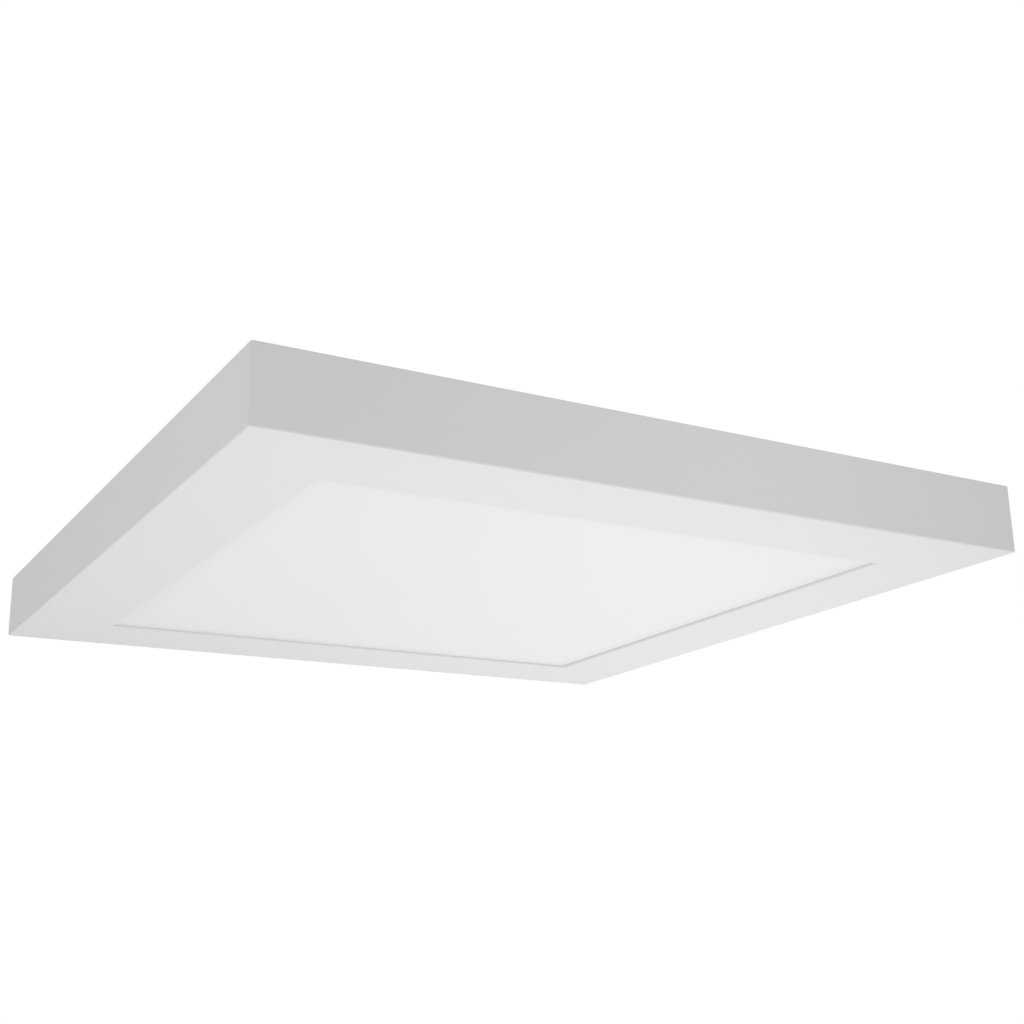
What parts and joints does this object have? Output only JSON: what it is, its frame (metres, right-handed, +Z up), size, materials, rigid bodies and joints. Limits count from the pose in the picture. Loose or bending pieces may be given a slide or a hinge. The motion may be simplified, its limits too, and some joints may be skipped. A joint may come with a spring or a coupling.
{
  "type": "square led ceiling light",
  "caption": "Thin square surface-mounted LED ceiling light: seamless rim frame, sunk opal diffuser, edge-lit stack, driver, and a mounting plate with snap-in spring clips.",
  "frame": {"origin": "centre of the mounting plate's top face, on the ceiling", "axes": "+Z up into the ceiling, the light faces -Z; +X along the mounting plate's long side; the driver and the terminal are on the +Y side"},
  "size_m": [0.3, 0.3, 0.026],
  "materials": {
    "white_coat": "matte",
    "opal_acrylic": "satin",
    "clear_acrylic": "gloss",
    "white_film": "matte",
    "thermal_tape": "matte",
    "flex_film": "satin",
    "galvanised_steel": "satin",
    "zinc_screw": "satin",
    "green_screw": "satin",
    "spring_steel": "satin",
    "rivet_aluminium": "satin",
    "driver_plastic": "matte",
    "circuit_board": "satin",
    "ferrite": "matte",
    "winding_tape": "satin",
    "capacitor_sleeve": "satin",
    "chip_epoxy": "matte",
    "fuse_body": "satin",
    "terminal_plastic": "satin",
    "contact_brass": "satin",
    "button_orange": "satin",
    "lead_black": "satin",
    "lead_white": "satin",
    "lead_green": "satin",
    "lead_red": "satin",
    "tinned_lug": "satin",
    "rubber_guard": "matte",
    "led_board": "satin",
    "led_package": "satin"
  },
  "bodies": {
    "ceiling_mount": {"mounting_plate": "galvanised_steel", "plate_earth_screw": "green_screw"},
    "luminaire": {"back_plate": "galvanised_steel", "back_plate_screws": "zinc_screw", "body_earth_screw": "green_screw", "clip_rivets": "rivet_aluminium", "diffuser": "opal_acrylic", "driver_base": "driver_plastic", "driver_board": "circuit_board", "driver_capacitors": "capacitor_sleeve", "driver_chips": "chip_epoxy", "driver_fuse": "fuse_body", "driver_inductor": "ferrite", "driver_lid": "driver_plastic", "driver_screws": "zinc_screw", "earth_lead": "lead_green", "earth_lug": "tinned_lug", "edge_guard": "rubber_guard", "flex_jumpers": "flex_film", "frame": "white_coat", "led_board_front": "led_board", "led_board_left": "led_board", "led_board_rear": "led_board", "led_board_right": "led_board", "led_chips_front": "led_package", "led_chips_left": "led_package", "led_chips_rear": "led_package", "led_chips_right": "led_package", "led_lead_negative": "lead_black", "led_lead_positive": "lead_red", "light_guide": "clear_acrylic", "live_lead": "lead_black", "neutral_lead": "lead_white", "reflector": "white_film", "spring_clip_left": "spring_steel", "spring_clip_right": "spring_steel", "terminal_block": "terminal_plastic", "terminal_contacts": "contact_brass", "terminal_screws": "zinc_screw", "terminal_springs": "spring_steel", "thermal_tapes": "thermal_tape", "transformer_core": "ferrite", "transformer_winding": "winding_tape"},
    "live_button": {"button_live": "button_orange"},
    "earth_button": {"button_earth": "button_orange"},
    "neutral_button": {"button_neutral": "button_orange"}
  },
  "joints": [
    {"name": "body_drop", "type": "slide", "parent": "ceiling_mount", "child": "luminaire", "axis": [0, 0, -1], "range_m": [0, 0.06], "deforming": ["spring_clip_left", "spring_clip_right"]},
    {"name": "live_button_press", "type": "slide", "parent": "luminaire", "child": "live_button", "axis": [0, 0, -1], "range_m": [0, 0.0012], "stiffness_N_per_m": 2500, "deforming": ["terminal_springs"]},
    {"name": "earth_button_press", "type": "slide", "parent": "luminaire", "child": "earth_button", "axis": [0, 0, -1], "range_m": [0, 0.0012], "stiffness_N_per_m": 2500, "deforming": ["terminal_springs"]},
    {"name": "neutral_button_press", "type": "slide", "parent": "luminaire", "child": "neutral_button", "axis": [0, 0, -1], "range_m": [0, 0.0012], "stiffness_N_per_m": 2500, "deforming": ["terminal_springs"]}
  ]
}
